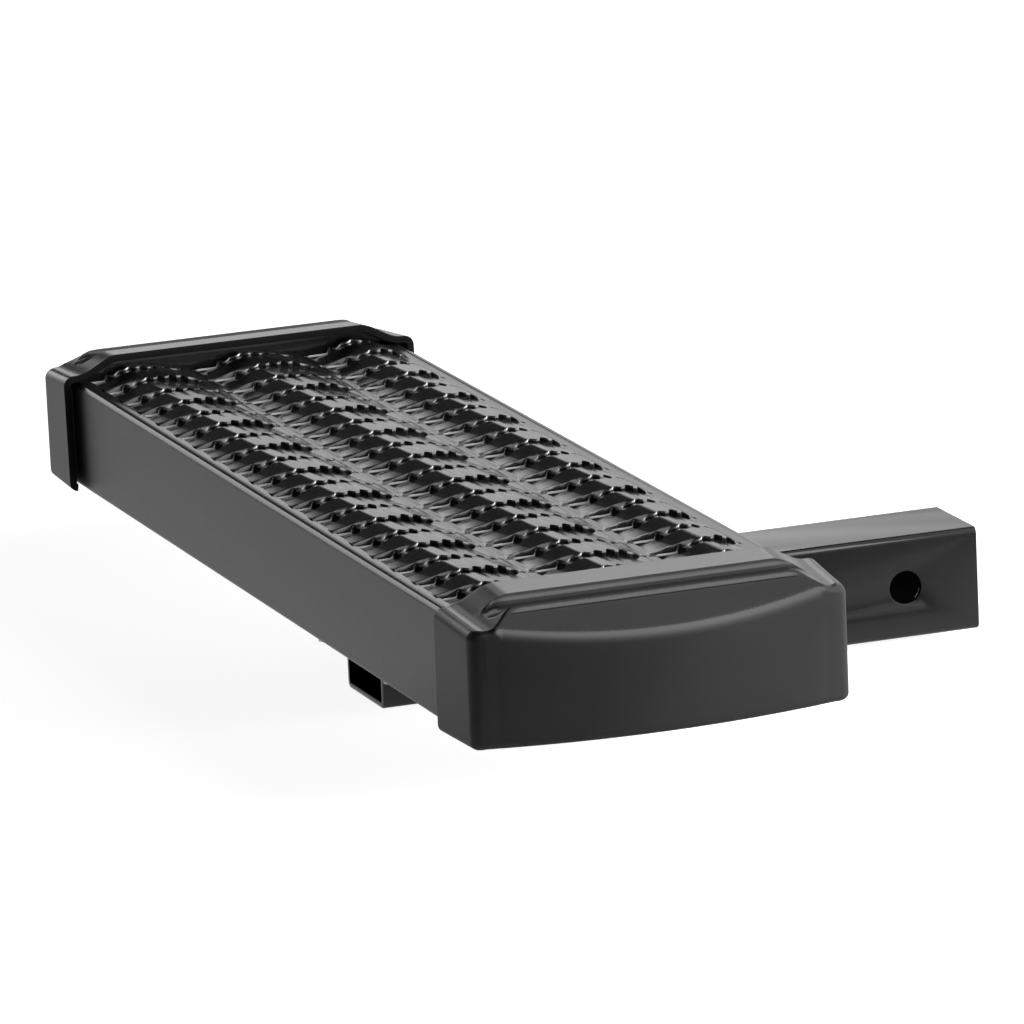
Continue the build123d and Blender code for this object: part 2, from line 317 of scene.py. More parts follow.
def hand_in(piece: bpy.types.Object, slot: str, *nodes: str) -> None:
    """Lets a finished piece ride on the part and stand for its CAD nodes, which it hides.

    Args:
        piece: The finished piece.
        slot: Material slot of the record; not used.
        nodes: CAD nodes that the piece stands for.
    """
    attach(piece, BODY)
    if nodes:
        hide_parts(*nodes)
    LOG.info("%s: %d faces, stands for %s", piece.name, len(piece.data.polygons), ", ".join(nodes))


class Grain(Enum):
    """The noise of a fine texture: its stretch along X, its detail and its roughness."""

    PEEL = (1.0, 1.5, 0.4)
    SPARK = (1.0, 4.0, 0.6)
    BRUSH = (0.06, 1.5, 0.4)


@dataclass(frozen=True)
class Finish:
    """A surface finish with slight changes of tone, gloss and height, and a tone for painted light on marked
    surfaces.
    """

    name: str
    dark: float
    light: float
    gloss_rough: float
    dull_rough: float
    grain: Grain
    grain_scale: float
    grain_depth: float
    grain_strength: float
    metallic: float = 0.0
    specular: float = 0.5
    side_dull: float = 0.0
    # Tone and specular share of the painted light: a painted highlight on the sheet, a painted shade on the
    # tube and the caps.
    bare_edge: float = 0.0
    painted_light_shine: float = 1.0
    cloud_scale: float = 14.0
    cloud_detail: float = 3.0
    cloud_span: Span = (0.35, 0.65)
    gloss_span: Span = (0.3, 0.7)
    upright_span: Span = (0.85, 0.3)

    def material(self) -> bpy.types.Material:
        """Makes the finish as a material with Object coordinates.

        Returns:
            The new material.
        """
        material, graph = blank_material(self.name)
        place = graph.add("ShaderNodeTexCoord").outputs["Object"]
        # The marked surfaces take the painted light's tone and specular level.
        with_painted_light = graph.add("ShaderNodeAttribute", attribute_name=PAINTED_LIGHT_LAYER).outputs["Fac"]
        shine = graph.spread(with_painted_light, (0.0, 1.0), (self.specular, self.specular * self.painted_light_shine))
        height = self.height(graph, place)
        bump = graph.add("ShaderNodeBump", {
            "Strength": self.grain_strength,
            "Distance": self.grain_depth,
            "Height": height,
        })
        shader = graph.add("ShaderNodeBsdfPrincipled", {
            "Base Color": self.tone(graph, place, with_painted_light),
            "Metallic": self.metallic,
            "Roughness": self.roughness(graph, height),
            "Specular IOR Level": shine,
            "Normal": bump.outputs["Normal"],
        })
        graph.add("ShaderNodeOutputMaterial", {"Surface": shader.outputs["BSDF"]})
        return material

    def tone(self, graph: Graph, place: Socket, with_painted_light: Socket) -> Socket:
        """Adds the nodes of the colour.

        Args:
            graph: Tree of the material.
            place: Coordinates of the surface.
            with_painted_light: Share of the painted light's tone, from 0 to 1.

        Returns:
            The colour of the slightly clouded coat, with the painted light's tone on the marked surfaces.
        """
        clouds = graph.add("ShaderNodeTexNoise", {
            "Vector": place,
            "Scale": self.cloud_scale,
            "Detail": self.cloud_detail,
        })
        coat = graph.add("ShaderNodeValToRGB", {"Fac": clouds.outputs["Fac"]})
        for stop, spot, level in zip(coat.color_ramp.elements, self.cloud_span, (self.dark, self.light)):
            stop.position = spot
            stop.color = grey(level)
        mix = graph.add("ShaderNodeMix", {0: with_painted_light}, data_type="RGBA")
        colours = [socket for socket in mix.inputs if socket.type == "RGBA"]
        graph.join(coat.outputs["Color"], colours[0])
        colours[1].default_value = grey(self.bare_edge)
        return next(socket for socket in mix.outputs if socket.type == "RGBA")

    def roughness(self, graph: Graph, height: Socket) -> Socket:
        """Adds the nodes of the roughness, which is higher on upright surfaces.

        Args:
            graph: Tree of the material.
            height: Height of the fine texture.

        Returns:
            The roughness.
        """
        normal = graph.add("ShaderNodeTexCoord").outputs["Normal"]
        facing = graph.add("ShaderNodeSeparateXYZ", {"Vector": normal}).outputs["Z"]
        level = graph.spread(height, self.gloss_span, (self.gloss_rough, self.dull_rough))
        return graph.calculate("ADD", level, graph.spread(facing, self.upright_span, (0.0, self.side_dull)))

    def height(self, graph: Graph, place: Socket) -> Socket:
        """Adds the nodes of the fine texture.

        Args:
            graph: Tree of the material.
            place: Coordinates of the surface.

        Returns:
            The height of the texture, from 0 to 1.
        """
        along, detail, rough = self.grain.value
        stretch = graph.add("ShaderNodeMapping", {"Vector": place, "Scale": (along, 1.0, 1.0)})
        noise = graph.add("ShaderNodeTexNoise", {
            "Vector": stretch.outputs["Vector"],
            "Scale": self.grain_scale,
            "Detail": detail,
            "Roughness": rough,
        })
        return noise.outputs["Fac"]


# The sheet paints a light highlight on the strands' front faces. The tube and the caps paint a near-black
# shade on the tube's inside and on the caps' rims.
COATED_SHEET = Finish("black_powder_coat", 0.015, 0.019, 0.12, 0.16, Grain.PEEL, 900.0, 0.0002, 0.02,
                      side_dull=0.24, bare_edge=0.7)
COATED_TUBE = Finish("black_tube_coat", 0.011, 0.014, 0.10, 0.13, Grain.PEEL, 800.0, 0.0002, 0.02,
                     bare_edge=0.001, painted_light_shine=0.0)
CAP_PLASTIC = Finish("moulded_black_plastic", 0.028, 0.034, 0.18, 0.23, Grain.SPARK, 1300.0, 0.0002, 0.03,
                     specular=0.45, side_dull=0.24, bare_edge=0.006, painted_light_shine=0.2)
ZINC_PLATE = Finish("bright_zinc", 0.45, 0.60, 0.28, 0.42, Grain.BRUSH, 1500.0, 0.0001, 0.10, metallic=1.0)


@dataclass
class TreadPlank:
    """The folded plank: two rails with flanges and lips, and the serrated strands between them."""

    material: bpy.types.Material
    rail_top: float = 51.6
    sheet: float = 2.6
    bend: float = 3.0
    lip: float = 20.0
    left_rail: float = 8.4
    right_rail: float = 5.4
    tube_room: float = 26.4
    lip_room: float = 30.4
    snap_size: Span = (9.0, 5.0)
    snap_from_end: float = 8.0
    row_pitch: float = 29.2
    row_count: int = 20
    slit: float = 1.0
    tilt: float = 5.4
    crest_tilt: float = 2.2
    tilt_pivot: float = 6.0
    cell_pitch: float = 60.6
    cell_start: float = -25.2
    valley: float = 11.7
    ramp: float = 13.5
    crest_rise: float = 5.0
    narrow_fall: tuple[Span, ...] = ((0.16, 4.8), (0.60, 2.8))
    wide_fall: tuple[Span, ...] = ((0.45, 4.7), (0.62, 4.0))
    fall_reach: float = 0.4
    fold_round: float = 0.9
    fold_steps: int = 9
    tooth_pitch: float = 6.2
    tooth_count: int = 7
    tooth_depth: float = 3.8
    tooth_scale: tuple[float, ...] = (0.9, 0.5, 0.7, 1.0, 1.0, 0.9, 0.5)
    tooth_steps: int = 8
    tooth_land: float = 1 / 3
    tooth_dip: float = 0.2
    eyelet: float = 1.0
    eyelet_width: float = 0.8
    tuck: Span = (1.0, 0.6)
    valley_steps: tuple[float, ...] = (0.25, 0.5, 0.75)
    edge_round: float = 0.5
    front_round: float = 0.3
    front_drop: float = 1.5
    under_round: float = 0.3
    # The painted highlight on the strands' front faces: its height, its fade, and how it weakens in the
    # notches and on falling crests.
    painted_light_height: float = 0.9
    painted_light_fade: Span = (0.1, 0.15)
    shine_loss: float = 1.4
    crest_from: float = 0.3
    crest_slope: float = 0.02
    crest_shine: float = 0.3
    crest_gain: float = 1.5
    nose_line: float = 1.4
    nose_roll: float = 0.9
    band: float = 5.0
    core: float = 6.0
    core_flat: float = 7.0
    ramp_lead: float = 11.0
    lead_rise: float = 1.5
    lead_curve: float = 1.1
    lead_from: float = 0.3
    bond_ease: Span = (6.0, 3.0)
    bond_rise: float = 1.2
    bond_fall: Span = (0.2, -0.6)
    bond_overlap: float = 0.5
    bond_steps: tuple[float, ...] = (0.4, 0.8, 1.2, 2.0, 2.6, 3.0)

    def __post_init__(self) -> None:
        """Takes the plank's place from its CAD node."""
        low, high = node_box("tread_plank")
        self.middle = (low[0] + high[0]) / 2
        self.half = (high[0] - low[0]) / 2
        self.near, self.far, self.floor = low[1], high[1], low[2]
        self.left, self.right = -self.half + self.left_rail, self.half - self.right_rail
        self.first_slit = (self.near + self.far) / 2 - (self.row_count - 1) * self.row_pitch / 2

    def build(self) -> bpy.types.Object:
        """Makes the whole plank as one piece.

        Returns:
            The finished plank.
        """
        stub = self.first_slit - self.slit / 2 - self.near
        webs = [self.strand("end_web", False, stub, place) for place in (self.near, self.far - stub)]
        return merge([self.rails(), self.strands(), *webs])

    def half_section(self, side: int) -> list[Span]:
        """The outer line of one rail, flange and lip.

        Args:
            side: -1 for the left half, 1 for the right half.

        Returns:
            Points across the plank and up, from the rail's inner edge to the lip's inner edge.
        """
        inner = self.left if side < 0 else self.right
        line = [(inner, self.rail_top)]
        top, bottom = self.rail_top - self.bend, self.floor + self.bend
        corner = self.half - self.bend
        for turn in QUARTER:
            line.append((side * (corner + self.bend * math.sin(turn)), top + self.bend * math.cos(turn)))
        line.append((side * self.half, self.tube_room))
        for turn in QUARTER:
            line.append((side * (corner + self.bend * math.cos(turn)), bottom - self.bend * math.sin(turn)))
        middle = self.half - (self.sheet + self.lip) / 2
        for place in (middle + self.snap_size[0] / 2, middle - self.snap_size[0] / 2, self.half - self.lip):
            line.append((side * place, self.floor))
        return line

    def rails(self) -> bpy.types.Object:
        """Makes both rails with the tube notch, the lip notches and the snap slots.

        Returns:
            The rails as one sheet-metal piece.
        """
        draft = Draft()
        half_snap = self.snap_size[1] / 2
        snaps = [self.near + self.snap_from_end, self.far - self.snap_from_end]
        stations = [self.near, self.far]
        stations += [place + step for place in snaps for step in (-half_snap, half_snap)]
        stations += [side * room for side in (-1, 1) for room in (self.tube_room, self.lip_room)]
        stations = sorted(stations)
        flange_face = 1 + len(QUARTER)
        lip_face = flange_face + len(QUARTER)
        snap_face = lip_face + 1
        for side in (-1, 1):
            line = self.half_section(side)
            grid = np.array([[(self.middle + x, y, z) for x, z in line] for y in stations])
            keep = np.ones((len(stations) - 1, len(line) - 1), bool)
            for row, (front, back) in enumerate(zip(stations, stations[1:])):
                place = (front + back) / 2
                if abs(place) < self.lip_room:
                    keep[row, lip_face:] = False
                if side > 0 and abs(place) < self.tube_room:
                    keep[row, flange_face:] = False
                if any(abs(place - snap) < half_snap for snap in snaps):
                    keep[row, snap_face] = False
            draft.add_grid(grid if side > 0 else grid[:, ::-1], keep=keep if side > 0 else keep[:, ::-1])
        piece = draft.piece("tread_plank_coat", self.material)
        add_modifier(piece, "SOLIDIFY", thickness=self.sheet * MM, offset=-1.0, use_even_offset=True)
        add_modifier(piece, "BEVEL", width=self.edge_round * MM, segments=2, limit_method="ANGLE",
                     angle_limit=math.radians(50))
        return settle(piece)

    def mounds(self) -> list[tuple[float, int]]:
        """Finds the mounds across a strand.

        Returns:
            The foot and the tooth count of each mound.
        """
        found = []
        for cell in range(-1, 2):
            foot = self.cell_start + cell * self.cell_pitch + self.valley
            found.append((foot, min(self.tooth_count, int((self.right - foot) / self.tooth_pitch))))
        return found

    def stations(self) -> np.ndarray:
        """Finds the places at which the section of a strand is made.

        Returns:
            The places across the plank, in order.
        """
        low, high = self.left - self.tuck[0], self.right + self.tuck[1]
        places = [low, high]
        for foot, teeth in self.mounds():
            step = self.tooth_pitch / self.tooth_steps
            places += [foot + i * step for i in range(teeth * self.tooth_steps + 1)]
            end = foot + teeth * self.tooth_pitch
            places += [end + step for step in self.bond_steps]
            start = foot - self.valley
            places += [start + share * self.eyelet for share in (-1.0, -0.5, 0.0, 0.5, 1.0)]
            places += [start + share * self.valley for share in self.valley_steps]
        return np.array(sorted({round(place, 4) for place in places if low <= place <= high}))

    def wave(self, places: np.ndarray, wide: bool) -> np.ndarray:
        """Heights of a strand's top across the plank.

        Args:
            places: Places across the plank.
            wide: Whether the crests are wide.

        Returns:
            Height above the rails at each place.
        """
        line = [(-2 * self.half, 0.0)]
        falls = self.wide_fall if wide else self.narrow_fall
        for foot, teeth in self.mounds():
            crest = foot + self.ramp
            end = foot + (teeth + self.fall_reach) * self.tooth_pitch
            line += [(foot, 0.0), (crest, self.crest_rise)]
            line += [(crest + share * (end - crest), height) for share, height in falls]
            line.append((end, 0.0))
        line_x, line_z = zip(*line, (2 * self.half, 0.0))
        shifts = np.linspace(-self.fold_round, self.fold_round, self.fold_steps)
        return np.mean([np.interp(places + shift, line_x, line_z) for shift in shifts], axis=0)

    def notch(self, places: np.ndarray) -> np.ndarray:
        """Cuts the teeth and eyelets into the edge of a strand.

        Args:
            places: Places across the plank.

        Returns:
            How far the edge is cut back at each place.
        """
        cut = np.zeros_like(places)
        for foot, teeth in self.mounds():
            share = (places - foot) / self.tooth_pitch
            inside = (share >= 0) & (share <= teeth)
            depth = self.tooth_depth * np.array(self.tooth_scale)[np.clip(share, 0, teeth - 1).astype(int)]
            inward = 1 - np.abs(2 * (share % 1.0) - 1)
            open_share = np.clip((inward - self.tooth_land) / (1 - self.tooth_land), 0, 1)
            cut = np.where(inside, depth * np.sin(open_share * math.pi / 2), cut)
            from_eyelet = (places - (foot - self.valley)) / self.eyelet
            hole = self.eyelet * self.eyelet_width * np.sqrt(np.clip(1 - from_eyelet**2, 0, 1))
            cut = np.maximum(cut, hole)
        return cut

    def bond(self, places: np.ndarray) -> np.ndarray:
        """Joins a strand to the one before it between their slits.

        Args:
            places: Places across the plank.

        Returns:
            How far they are joined at each place, from 0 to 1.
        """
        joined = np.zeros_like(places)
        for foot, teeth in self.mounds():
            end = foot + teeth * self.tooth_pitch
            start = foot - self.valley + self.cell_pitch - self.eyelet
            rise = smoothstep(end, end + self.bond_rise, places)
            fall = smoothstep(start + self.bond_fall[0], start + self.bond_fall[1], places)
            joined = np.maximum(joined, rise * fall)
        return np.where(places > self.right, 1.0, joined)

    def level(self, places: np.ndarray) -> np.ndarray:
        """Holds a strand level at its bonds.

        Args:
            places: Places across the plank.

        Returns:
            How far it is held at each place, from 0 to 1.
        """
        held = np.zeros_like(places)
        before, after = self.bond_ease
        for foot, teeth in self.mounds():
            end = foot + teeth * self.tooth_pitch
            start = foot - self.valley + self.cell_pitch
            ease = smoothstep(end - before, end, places) * smoothstep(start + after, start, places)
            held = np.maximum(held, ease)
        return held

    def lead(self, places: np.ndarray) -> np.ndarray:
        """Lets the ramp start early in the middle of a strand.

        Args:
            places: Places across the plank.

        Returns:
            How much higher the middle is than the edges at each place.
        """
        extra = np.zeros_like(places)
        for foot, _ in self.mounds():
            rise = np.clip((places - foot + self.ramp_lead) / self.ramp_lead, 0, 1) ** self.lead_curve
            fall = np.clip((foot + self.ramp - places) / self.ramp, 0, 1)
            extra = np.maximum(extra, self.lead_rise * np.minimum(rise, fall))
        return extra

    def section(
        self, x: np.ndarray, cut: np.ndarray, joined: np.ndarray, length: float
    ) -> tuple[Ring, slice]:
        """The outline of a strand, once round, at each place across the plank.

        Args:
            x: Places across the plank.
            cut: How far the edges are cut back there.
            joined: Where the strand is joined to the one before it, from 0 to 1.
            length: From its front edge to its rear edge.

        Returns:
            Places along the plank with their heights, and which of them carry the painted highlight on the
            front edge.
        """
        front, rear = cut - joined * (self.slit + self.bond_overlap), length - cut
        deep, soft, under = self.sheet, self.front_round, self.under_round
        keel = deep + self.front_drop
        ring = [(np.full_like(x, self.core), -deep), (front + under, -keel), (front, under - keel)]
        ring.append((front, -self.painted_light_height - self.painted_light_fade[0]))
        edge = [(front, -self.painted_light_height), (front, -soft), (front + soft, 0.0)]
        with_painted_light = slice(len(ring), len(ring) + len(edge))
        ring += [*edge, (front + soft + self.painted_light_fade[1], 0.0), (front + self.nose_line, 0.0)]
        for place in (self.band, self.core_flat, length - self.band):
            ring.append((np.full_like(x, place), 0.0))
        dip = self.tooth_dip * cut / self.tooth_depth
        blunt = self.edge_round * (1 - joined)
        for turn in np.radians((90.0, 45.0, 0.0)):
            ring.append((rear - blunt * (1 - math.cos(turn)), blunt * (math.sin(turn) - 1) - dip))
        ring += [(rear, under - deep), (rear - under, -deep), (np.full_like(x, length / 2), -deep)]
        return ring, with_painted_light

    def strand(self, name: str, wide: bool, length: float, start: float = 0.0) -> bpy.types.Object:
        """Makes one strand, level with the rails near its front edge.

        Args:
            name: Name of the strand.
            wide: Whether its crests are wide.
            length: From its front edge to its rear edge.
            start: Place of its front edge.

        Returns:
            The strand, ready to be repeated.
        """
        x = self.stations()
        top, cut, joined, lead = self.wave(x, wide), self.notch(x), self.bond(x), self.lead(x)
        high = np.clip(top / self.crest_rise * self.crest_gain, 0, 1)
        drop = np.tan(np.radians(self.tilt + (self.crest_tilt - self.tilt) * high)) * (1 - self.level(x))
        ring, with_painted_light = self.section(x, cut, joined, length)
        # Painted highlight on the front faces: full in the valleys, weaker in the deep notches and on the
        # falling crests, none at the bonds.
        falling = (top > self.crest_from) & (np.gradient(top, x) < self.crest_slope)
        shine = np.clip(1 - self.shine_loss * cut / self.tooth_depth, 0, 1) * (1 - joined)
        edges = np.zeros((len(x), len(ring)))
        edges[:, with_painted_light] = (shine * np.where(falling, self.crest_shine, 1.0))[:, None]
        grid = np.zeros((len(x), len(ring), 3))
        for i, (y, z) in enumerate(ring):
            swell = lead * smoothstep(self.lead_from, self.core, y)
            roll = self.nose_roll * (1 - high) * (1 - joined) * np.clip(1 - y / self.core, 0, 1) ** 2
            grid[:, i, 0] = self.middle + x
            grid[:, i, 1] = start + y
            grid[:, i, 2] = self.rail_top + top + z + drop * (self.tilt_pivot - y) + swell - roll
        draft = Draft()
        draft.add_grid(grid, wrap=True)
        piece = draft.piece(name, self.material)
        mark_painted_light(piece, edges.ravel())
        piece.data.shade_smooth()
        return piece

    def strands(self) -> bpy.types.Object:
        """Repeats the two kinds of strand along the plank with a node tree.

        Returns:
            All strands as one plain mesh.
        """
        length = self.row_pitch - self.slit
        kinds = [self.strand(f"strand_{i}", wide, length) for i, wide in enumerate((False, True))]
        tree = bpy.data.node_groups.new("tread_rows", "GeometryNodeTree")
        face = tree.interface
        face.new_socket("Geometry", in_out="OUTPUT", socket_type="NodeSocketGeometry")
        wanted = {
            "Even Strand": ("NodeSocketObject", kinds[1]),
            "Odd Strand": ("NodeSocketObject", kinds[0]),
            "Rows": ("NodeSocketInt", self.row_count - 1),
            "Row Pitch": ("NodeSocketFloat", self.row_pitch * MM),
            "First Row": ("NodeSocketFloat", (self.first_slit + self.slit / 2) * MM),
            "Coat": ("NodeSocketMaterial", self.material),
        }
        for name, (kind, _) in wanted.items():
            face.new_socket(name, in_out="INPUT", socket_type=kind)
        graph = Graph(tree)
        given = graph.add("NodeGroupInput").outputs
        start = graph.add("ShaderNodeCombineXYZ", {"Y": given["First Row"]})
        step = graph.add("ShaderNodeCombineXYZ", {"Y": given["Row Pitch"]})
        rows = graph.add("GeometryNodeMeshLine", {
            "Count": given["Rows"],
            "Start Location": start.outputs["Vector"],
            "Offset": step.outputs["Vector"],
        })
        pair = graph.add("GeometryNodeGeometryToInstance")
        for name in ("Odd Strand", "Even Strand"):
            info = graph.add("GeometryNodeObjectInfo", {"Object": given[name]})
            graph.join(info.outputs["Geometry"], pair.inputs["Geometry"])
        index = graph.add("GeometryNodeInputIndex").outputs["Index"]
        copies = graph.add("GeometryNodeInstanceOnPoints", {
            "Points": rows.outputs["Mesh"],
            "Instance": pair.outputs["Instances"],
            "Pick Instance": True,
            "Instance Index": graph.calculate("MODULO", index, float(len(kinds))),
        })
        real = graph.add("GeometryNodeRealizeInstances", {"Geometry": copies.outputs["Instances"]})
        coat = graph.add("GeometryNodeSetMaterial", {
            "Geometry": real.outputs["Geometry"],
            "Material": given["Coat"],
        })
        graph.add("NodeGroupOutput", {"Geometry": coat.outputs["Geometry"]})
        piece = Draft().piece("tread_strands", self.material)
        modifier = add_modifier(piece, "NODES", node_group=tree)
        for item in face.items_tree:
            if item.in_out == "INPUT":
                modifier[item.identifier] = wanted[item.name][1]
        piece.update_tag()
        settle(piece, crease=50.0)
        for kind in kinds:
            bpy.data.objects.remove(kind)
        return piece


@dataclass
class ReceiverTube:
    """The square tube with its cross hole for the hitch pin."""

    material: bpy.types.Material
    wall: float = 3.2
    corner: float = 3.0
    inner_corner: float = 1.6
    pin_hole: float = 16.3
    hole_sides: int = 48
    edge: float = 0.5
    inside_from: float = 1.0

    def section(self, half: float, radius: float) -> list[Span]:
        """A square with round corners, once round.

        Args:
            half: Half of its side.
            radius: Radius of its corners.

        Returns:
            Points across and up.
        """
        line = []
        middle = (half - radius) * math.sqrt(2)
        for quarter in range(4):
            first = math.radians(90 * quarter)
            lean = math.radians(90 * quarter + 45)
            for turn in QUARTER:
                y = middle * math.cos(lean) + radius * math.cos(first + turn)
                z = middle * math.sin(lean) + radius * math.sin(first + turn)
                line.append((y, z))
        return line

    def build(self) -> bpy.types.Object:
        """Makes the tube, drills it, rounds its edges and paints shade on its inside.

        Returns:
            The finished tube.
        """
        low, high = node_box("receiver_tube")
        half = (high[2] - low[2]) / 2
        outer, inner = self.section(half, self.corner), self.section(half - self.wall, self.inner_corner)
        ends = (low[0], high[0])
        rings = [(ends[0], outer), (ends[1], outer), (ends[1], inner), (ends[0], inner), (ends[0], outer)]
        draft = Draft()
        draft.add_grid(np.array([[(x, y, z) for y, z in ring] for x, ring in rings]), wrap=True)
        tube = draft.piece("receiver_tube_coat", self.material)
        add_modifier(tube, "WELD", merge_threshold=0.01 * MM)
        drill = self.drill(length=3 * half)
        add_modifier(tube, "BOOLEAN", object=drill, operation="DIFFERENCE", solver="EXACT")
        add_modifier(tube, "BEVEL", width=self.edge * MM, segments=2, limit_method="ANGLE",
                     angle_limit=math.radians(40))
        settle(tube, crease=30.0)
        bpy.data.objects.remove(drill)
        # Painted shade: the tube's inside comes out near black and without reflections.
        reach = (half - self.inside_from) * MM
        inside = [float(max(abs(vertex.co.y), abs(vertex.co.z)) < reach) for vertex in tube.data.vertices]
        mark_painted_light(tube, np.array(inside))
        return tube

    def drill(self, length: float) -> bpy.types.Object:
        """A closed round bar along Y through the origin.

        Args:
            length: Length of the bar.

        Returns:
            The bar.
        """
        turns = [math.radians(360 * i / self.hole_sides) for i in range(self.hole_sides)]
        radius = self.pin_hole / 2
        ends = (length / 2, -length / 2)
        rows = [[(radius * math.cos(t), y, radius * math.sin(t)) for t in turns] for y in ends]
        draft = Draft()
        draft.add_grid(np.array(rows), wrap=True)
        draft.faces.append(tuple(range(len(turns)))[::-1])
        draft.faces.append(tuple(range(len(turns), 2 * len(turns))))
        return draft.piece("drill", self.material)


class End(Enum):
    """The two ends of the plank: the CAD node of the cap and which way it faces along Y."""

    NEAR = ("end_cap_near", -1)
    FAR = ("end_cap_far", 1)


@dataclass
class EndCap:
    """A moulded cap: crowned top with a shallow slot, sloped front facet and bowed front wall."""

    material: bpy.types.Material
    end: End
    depth: float = 41.0
    bulge: float = 12.5
    taper: float = 2.0
    corner: float = 8.0
    edge: float = 3.3
    side_edge: float = 5.2
    edge_steps: int = 8
    rim_round: float = 1.4
    rim_band: float = 0.1
    floor_edge: float = 4.0
    wall: float = 3.6
    wall_steps: tuple[float, ...] = (0.25, 0.5, 0.75)
    lean: float = 2.4
    droop: float = 3.3
    rim_slant: float = 1.6
    rail_top: float = 51.6
    shoulder: float = 4.1
    crown: float = 8.5
    crown_foot: float = 88.5
    crown_flat: float = 66.0
    slot_half: float = 81.0
    slot_start: float = 20.0
    slot_width: float = 16.0
    slot_depth: float = 4.4
    slot_round: float = 5.2
    slot_fade: float = 0.8
    ridge: float = 1.6
    ridge_rise: float = 0.9
    bead_end: float = 78.0
    facet_angle: float = 37.0
    facet_top: float = 59.2
    facet_blend: float = 0.8
    facet_rows: int = 10
    rim_rows: tuple[float, ...] = (0, 1, 4, 8, 12, 16, 19, 19.7)
    slot_rows: tuple[float, ...] = (0, 0.1, 0.3, 0.6, 1, 1.5, 2, 2.8, 3.6, 4.8, 6, 8, 11, 13, 14, 14.5)
    ridge_step: float = 0.2
    ridge_rows: tuple[int, int] = (-6, 20)
    squeeze_from: float = 1.0
    coarse_half: float = 60.0
    coarse_step: float = 3.0
    fine_step: float = 0.9
    fine_gap: float = 0.3
    rib: Span = (7.0, 10.0)
    rib_height: Span = (2.6, 48.6)
    rib_reach: float = 2.5
    tab: Span = (68.9, 84.4)
    tab_start: float = 4.0
    tab_short: float = 1.0
    tab_base: float = -0.4
    tab_height: float = 6.0
    barb: Point = (8.2, 4.2, 2.6)
    barb_place: Span = (77.6, 8.0)

    def __post_init__(self) -> None:
        """Takes the cap's place from its CAD node."""
        self.node, self.side = self.end.value
        low, high = node_box(self.node)
        self.middle = (low[0] + high[0]) / 2
        self.half = (high[0] - low[0]) / 2
        self.floor = low[2]
        self.rim = high[1] if self.side < 0 else low[1]

    def build(self) -> bpy.types.Object:
        """Makes the cap's shell, thickens it and adds its fittings.

        Returns:
            The finished cap.
        """
        top, outward = self.top_grid()
        rows, columns = top.shape[:2]
        border = [(r, 0) for r in range(rows)]
        border += [(rows - 1, c) for c in range(1, columns)]
        border += [(r, columns - 1) for r in range(rows - 2, -1, -1)]
        inset = np.array([top[r, c] for r, c in border])
        normals = np.array([outward(r, c) for r, c in border])
        shell = Draft()
        shell.add_grid(self.place(top))
        rings = [inset]
        slopes = np.arctan2(top[-2, :, 2] - top[-1, :, 2], top[-1, :, 1] - top[-2, :, 1])
        tilts = np.array([slopes[c] if r == rows - 1 else 0.0 for r, c in border])
        lean = np.clip(tilts, 0, 1) * normals[:, 1]
        radius = (self.edge + (self.side_edge - self.edge) * normals[:, 0] ** 2) / (1 - np.sin(lean))
        for step in range(1, self.edge_steps + 1):
            turn = lean + (math.pi / 2 - lean) * step / self.edge_steps
            ring = inset + normals * (radius * (np.sin(turn) - np.sin(lean)))[:, None]
            ring[:, 2] = inset[:, 2] - radius * (np.cos(lean) - np.cos(turn))
            rings.append(ring)
        last = rings[-1]
        fall = self.floor + self.floor_edge - last[:, 2]
        for share in self.wall_steps:
            rings.append(self.lowered(last, last[:, 2] + fall * share, 0.0, normals))
        for turn in QUARTER:
            height = np.full(len(last), self.floor + self.floor_edge * (1 - math.sin(turn)))
            rings.append(self.lowered(last, height, self.floor_edge * (1 - math.cos(turn)), normals))
        shell.add_grid(self.place(np.array(rings)))
        piece = shell.piece(f"{self.node}_moulding", self.material)
        add_modifier(piece, "WELD", merge_threshold=0.001 * MM)
        add_modifier(piece, "SOLIDIFY", thickness=self.wall * MM, offset=-1.0, use_even_offset=True)
        add_modifier(piece, "BEVEL", width=self.rim_round * MM, segments=3, limit_method="ANGLE",
                     angle_limit=math.radians(60))
        self.shade_rim(settle(piece, crease=60.0))
        return merge([piece, self.fittings()])

    def slant(self, height: np.ndarray) -> np.ndarray:
        """How far the rim leans outwards at each height."""
        return self.rim_slant * np.maximum((height - self.floor) / (self.rail_top - self.floor), 0)

    def shade_rim(self, piece: bpy.types.Object) -> None:
        """Marks the face of the rim for a painted shade, near black, as it lies in the shade of the tread.

        Args:
            piece: The cap's shell.
        """
        spots = np.array([vertex.co for vertex in piece.data.vertices]) / MM
        out = self.side * (spots[:, 1] - self.rim) - self.slant(spots[:, 2])
        mark_painted_light(piece, (out < self.rim_band).astype(float))

